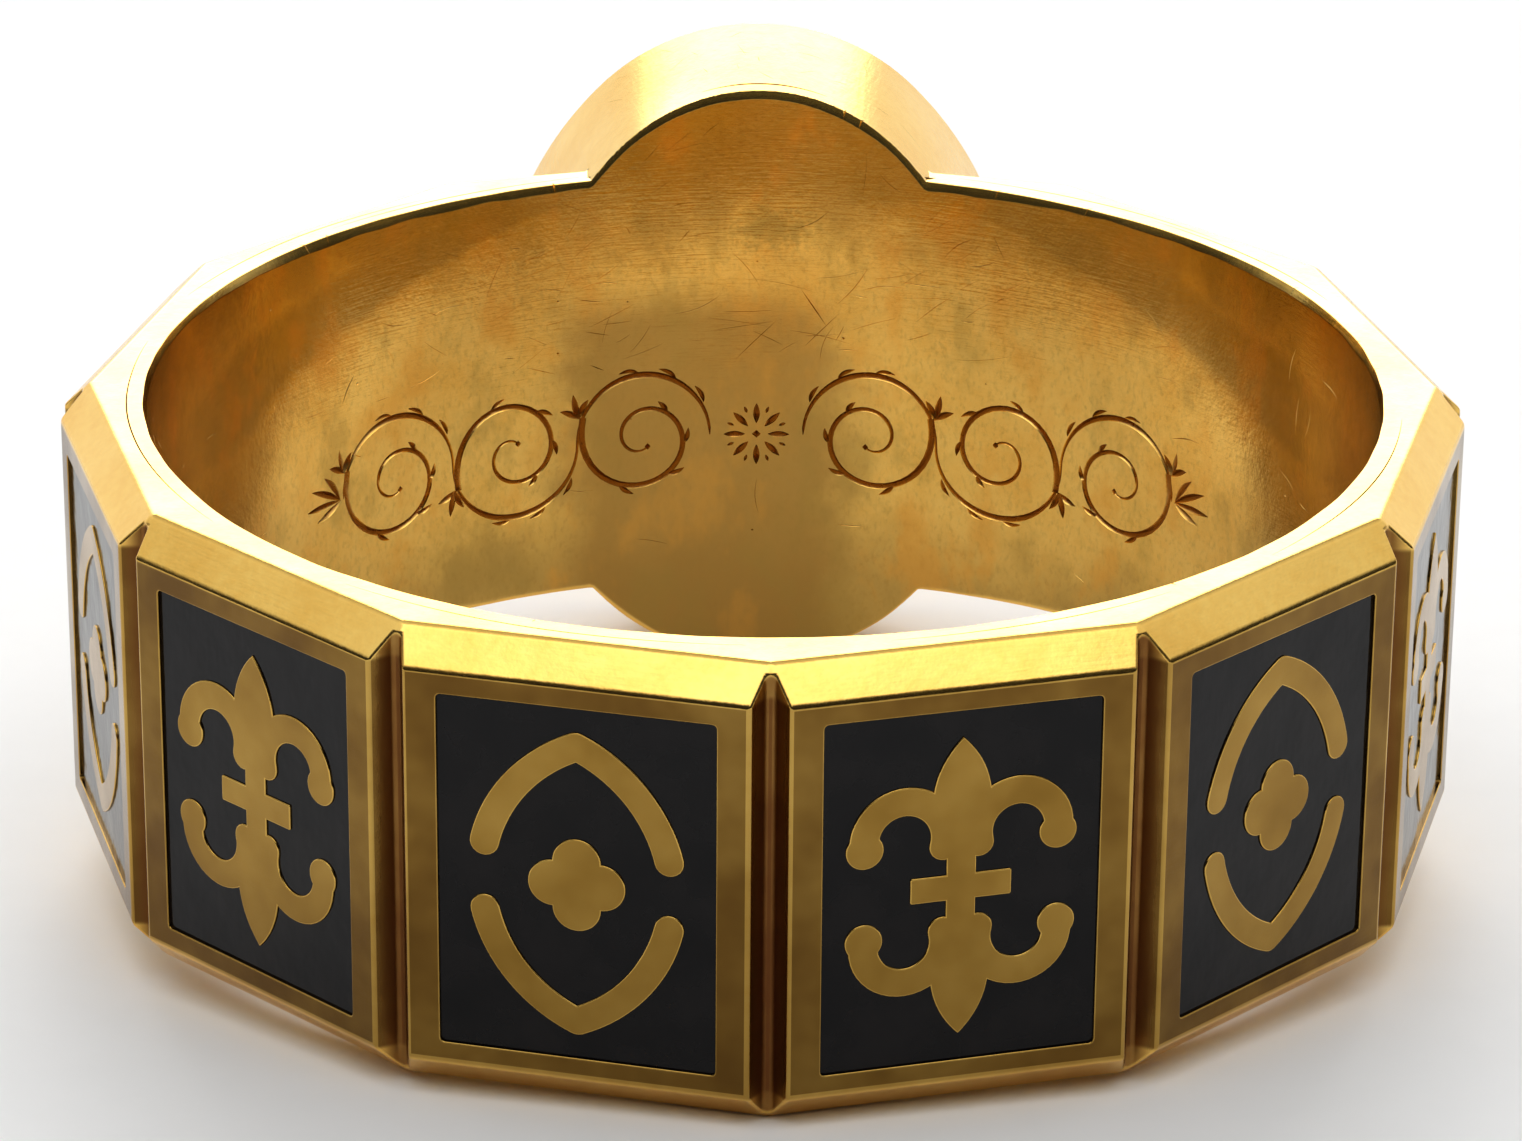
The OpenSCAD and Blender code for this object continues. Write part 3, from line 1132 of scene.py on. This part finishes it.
def gold_places(g):
    """What the gold's layers read: where a place lies on the ring, its marks, and the noises."""
    place = g.ring_place()
    x, y, z = g.separated(place)
    radius = g.maths("SQRT", g.maths("ADD", g.times(x, x), g.times(y, y)))
    off_groove = g.maths("PINGPONG", g.maths("ARCTAN2", y, x), SIDE_TURN / 2)
    return SimpleNamespace(
        place=place, x=x, y=y, z=z, radius=radius, off_groove=off_groove,
        aside=g.maths("ABSOLUTE", x),
        tall=g.maths("ABSOLUTE", z),
        beside=g.times(off_groove, radius),
        band=g.ramp(y, *BAND_Y),
        wall=g.ramp(radius, *WALL_R),
        behind=g.ramp(y, *BEHIND_BEZEL_Y),
        worn=g.mark("worn"),
        engraved=g.mark("cut"),
        patches=g.noise(place, *PATCHES),
        grains=g.noise(place, *GRAINS),
        waves=g.noise(place, *WAVES),
        clouds=g.noise(g.stretched(place, CLOUDS_SCALE, shift=CLOUDS_SHIFT), *CLOUDS))


def outside_shade_layer(g, at):
    """Painted shade on the outside of the band, away from its bevels: a brown darkening, weaker on worn
    edges.
    """
    return g.times(at.band, g.ramp(at.radius, *OUTSIDE_SHADE_R), g.ramp(at.tall, *OUTSIDE_SHADE_Z),
                   g.ramp(at.patches, *OUTSIDE_SHADE_COVER), g.added(at.worn, -WORN_SHADE_LOSS, 1.0))


def frame_shade_layer(g, at, outside_shade):
    """Darker painted shade round the panels, beside the grooves and above and below the enamel."""
    frames = g.maths("MAXIMUM", g.ramp(at.beside, *FRAME_W), g.ramp(at.tall, *FRAME_Z))
    return g.times(frames, g.times(outside_shade, g.ramp(at.patches, *FRAME_SHADE_COVER)))


def dirt_layer(g, at):
    """Tarnish in the grooves, which end at the band's bevels, and in cuts outside the finger hole."""
    facing = g.maths("COSINE", g.maths("SUBTRACT", SIDE_TURN / 2, at.off_groove))
    reach = g.added(facing, at.radius, at.tall)
    growth = (BAND_W_HEAD - BAND_W_BACK) / (4 * BORE_R)
    outline = g.added(at.y, growth, half_band(0) + FLAT_R - EDGE_BEVEL)
    groove = g.times(g.ramp(at.beside, *GROOVE_FADE_W), at.band, g.ramp(at.radius, *GROOVE_FADE_R),
                     g.ramp(g.maths("SUBTRACT", outline, reach), *GROOVE_END),
                     g.ramp(at.patches, *DIRT_COVER))
    outer = g.times(at.engraved, g.ramp(at.radius, *OUTER_CUT_R), g.ramp(at.y, *OUTER_CUT_Y))
    return g.maths("MAXIMUM", groove, outer)


def deep_layer(g, at):
    """Tarnish in the cuts in the finger hole's wall, which lie deeper than the wall."""
    return g.times(g.ramp(at.radius, *DEEP_R), g.ramp(at.radius, *DEEP_LAST_R), g.ramp(at.tall, *DEEP_Z))


def wall_shade_layer(g, at):
    """Painted shade on the wall: darker towards its mouths and its sides, and in a curved band on each
    side.
    """
    wavy_height = g.wavering(at.tall, at.patches, WALL_SHADE_WAVER)
    shade_zone = g.maths("MAXIMUM", g.ramp(wavy_height, *WALL_SHADE_Z), g.ramp(at.aside, *WALL_SHADE_X))
    upper = g.maths("MAXIMUM", at.z, 0)
    bent = g.wavering(g.added(g.times(upper, upper), SHADE_BAND_BOW, at.aside), at.patches, SHADE_BAND_WAVER)
    shade_band = g.times(g.ramp(bent, *SHADE_BAND_X), g.ramp(bent, *SHADE_BAND_LAST_X), g.ramp(at.z, *SHADE_BAND_Z))
    return g.times(g.maths("MAXIMUM", shade_zone, shade_band), at.wall)


def shade_patch_layer(g, at):
    """A patch of painted shade on the wall behind the bezel, with a ragged edge."""
    from_middle = g.maths("ABSOLUTE", g.maths("ADD", at.x, SHADE_PATCH_ASIDE))
    ragged = g.added(at.patches, SHADE_PATCH_WAVER, from_middle)
    return g.times(g.ramp(ragged, *SHADE_PATCH_X), at.wall, g.ramp(at.z, *SHADE_PATCH_Z), at.behind)


def fleck_layer(g, at):
    """Fine brown flecks on the wall."""
    flecked = g.noise(g.stretched(at.place, FLECKS_SCALE), *FLECKS)
    return g.times(g.ramp(flecked, *FLECK_COVER), at.wall)


def orange_layer(g, at, shade_patch):
    """Orange clouds on the wall, weaker in the patch of painted shade."""
    return g.times(g.ramp(at.clouds, *ORANGE_COVER), at.wall, g.added(shade_patch, -SHADE_PATCH_ORANGE_LOSS, 1.0))


def olive_layer(g, at):
    """Olive clouds between the orange ones, and one olive spot above the patch of painted shade."""
    clouds = g.times(g.ramp(at.clouds, *OLIVE_COVER), at.wall)
    from_spot = g.vectors("DISTANCE", g.stretched(at.place, SPOT_SCALE), SPOT_AT, "Value")
    from_spot = g.wavering(from_spot, at.grains, SPOT_WAVER)
    spot = g.times(g.ramp(from_spot, *SPOT_FADE), at.behind, at.wall)
    return g.maths("MAXIMUM", clouds, spot)


def gold_look(g):
    """Worn gold: layers of colour over the bright metal, some of them painted shade, then its gloss and
    its relief.
    """
    at = gold_places(g)
    shade_patch, outside_shade = shade_patch_layer(g, at), outside_shade_layer(g, at)
    deep, dirt = deep_layer(g, at), dirt_layer(g, at)
    speckled = g.added(at.grains, 0.5, g.maths("SUBTRACT", at.patches, 0.25))
    layers = (
        (g.ramp(speckled, *WARMTH), GOLD_WARM),
        # Painted shade on the wall, towards its mouths and sides and in a curved band on each side
        (wall_shade_layer(g, at), GOLD_WALL_SHADE),
        (fleck_layer(g, at), GOLD_FLECKS_AND_SHADE),
        # A patch of painted shade on the wall behind the bezel
        (shade_patch, GOLD_FLECKS_AND_SHADE),
        (orange_layer(g, at, shade_patch), GOLD_ORANGE),
        (olive_layer(g, at), GOLD_OLIVE),
        # Painted shade on the outside of the band, and darker painted shade on the frames of the panels
        (outside_shade, GOLD_OUTSIDE_SHADE),
        (frame_shade_layer(g, at, outside_shade), GOLD_FRAME_SHADE),
        (deep, GOLD_CUT),
        (dirt, GOLD_DIRT),
    )
    colour = GOLD_BRIGHT
    for cover, tint in layers:
        colour = g.mixed(cover, colour, tint)
    rough = g.ramp(at.patches, *ROUGHNESS)
    for cover, amount in ((dirt, DIRT_ROUGH), (deep, DEEP_ROUGH), (at.worn, WORN_ROUGH)):
        rough = g.added(cover, amount, rough)
    brushed = g.noise(g.vectors("MULTIPLY", at.place, BRUSHING), scale=1.0, detail=1.0)
    height = g.times(brushed, g.ramp(at.waves, *BRUSH_HEIGHT))
    tooth = g.noise(at.place, *TOOTH)
    for part, amount in ((tooth, TOOTH_HEIGHT), (at.grains, GRAIN_HEIGHT), (at.waves, WAVE_HEIGHT)):
        height = g.added(part, amount, height)
    return {"Base Color": colour, "Roughness": rough, "Normal": g.relief(height), "Metallic": 1.0}


# Enamel and floor

def enamel_look(g):
    """Black enamel with a faint unevenness of its colour, its gloss and its surface."""
    place = g.ring_place()
    patches = g.noise(place, scale=1.1, detail=3.0)
    colour = g.mixed(g.ramp(patches, *ENAMEL_MIX), ENAMEL_DARK, ENAMEL_LIGHT)
    fine = g.noise(g.stretched(place, (9, 9, 2.0), turn=30), scale=1.0, detail=3.0)
    height = g.added(fine, ENAMEL_GRAIN_HEIGHT, g.times(patches, ENAMEL_WAVE_HEIGHT))
    return {"Base Color": colour, "Roughness": g.ramp(fine, *ENAMEL_ROUGHNESS),
            "Normal": g.relief(height), "Specular IOR Level": 0.17}


def floor_look(g):
    grain = g.noise(g.coordinates("Object"), scale=900.0, detail=3.0)
    return {"Base Color": g.mixed(grain, FLOOR_DARK, FLOOR_LIGHT), "Roughness": 0.7}


# Stage, camera and light

def floor():
    half = 3.0
    corners = [(-half, -half, 0), (half, -half, 0), (half, half, 0), (-half, half, 0)]
    ob = solid("floor", corners, [(0, 1, 2, 3)])
    ob.data.materials.append(material_of("pale_floor", floor_look))


def camera():
    """The camera at the photograph's angle to the ring, worked out in the ring's own frame."""
    e, a, r = radians(CAM_ELEVATION), radians(CAM_TURN), radians(CAM_ROLL)
    back = Vector((sin(a) * cos(e), -cos(a) * cos(e), sin(e)))
    right = Vector((0, 0, 1)).cross(back).normalized()
    up = back.cross(right)
    right, up = right * cos(r) + up * sin(r), up * cos(r) - right * sin(r)
    place = back * CAM_DISTANCE + right * CAM_ASIDE + up * CAM_UP
    data = bpy.data.cameras.new("camera")
    data.lens = CAM_LENS
    data.sensor_width = SENSOR_W
    data.clip_start = 0.005
    ob = link("camera", data)
    turn = Matrix((right, up, back)).transposed().to_4x4()
    ob.matrix_world = Matrix.Translation(REST @ place) @ Matrix.Rotation(LEAN, 4, "X") @ turn
    bpy.context.scene.camera = ob


def world():
    """Studio light from all sides, drawn on the sky."""
    sky = bpy.data.worlds.new("studio")
    bpy.context.scene.world = sky
    sky.use_nodes = True
    g = Graph(sky.node_tree)
    direction = g.coordinates("Generated")
    x, y, z = g.separated(direction)
    aside = g.maths("ABSOLUTE", x)
    power = g.maths("ADD", g.ramp(g.added(aside, CEILING_LEAN, z), *CEILING),
                  g.ramp(g.added(aside, SIDE_LEAN, z), *SIDE_LIGHT))
    glow = g.times(g.ramp(y, *GLOW_DEPTH), g.ramp(z, *GLOW_RISE))
    power = g.maths("ADD", power, glow)
    for bright, rise, inner, outer in LAMPS:
        middle = (0, cos(radians(rise)), sin(radians(rise)))
        near = g.vectors("DOT_PRODUCT", direction, middle, "Value")
        lamp = g.ramp(near, cos(radians(outer)), cos(radians(inner)), 0.0, bright)
        power = g.maths("ADD", power, lamp)
    sky.cycles.sampling_method = "NONE"
    background = sky.node_tree.nodes["Background"]
    g.put(background.inputs["Color"], (1, 1, 1, 1))
    g.put(background.inputs["Strength"], power)


# The ring

gold = material_of("gold", gold_look)
black = material_of("black_enamel", enamel_look)

hoop = hoop_solid()
give_slots(hoop, gold)
wear_edges(hoop)
# The cuts draw from one row of random numbers, so their order stays as it is
cut_all(hoop, scroll_cuts() + wall_scratches() + wall_pits() + seam_cuts() + solder_pits()
        + nick_cuts() + plate_scratches() + side_scratches() + hairlines())
weld(hoop, WELD)
mark_faces(hoop)
shade(hoop)
lay_down(hoop)
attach(hoop, "root")
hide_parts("hoop")
for i in range(1, PANELS + 1):
    plate = enamel_solid(i)
    tidy_faces(plate)
    lay_down(plate)
    plate.data.materials.clear()
    plate.data.materials.append(black)
    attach(plate, "root")
    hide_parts(f"enamel_{i}")

floor()
camera()
world()
scene = bpy.context.scene
scene.view_settings.view_transform = "Standard"
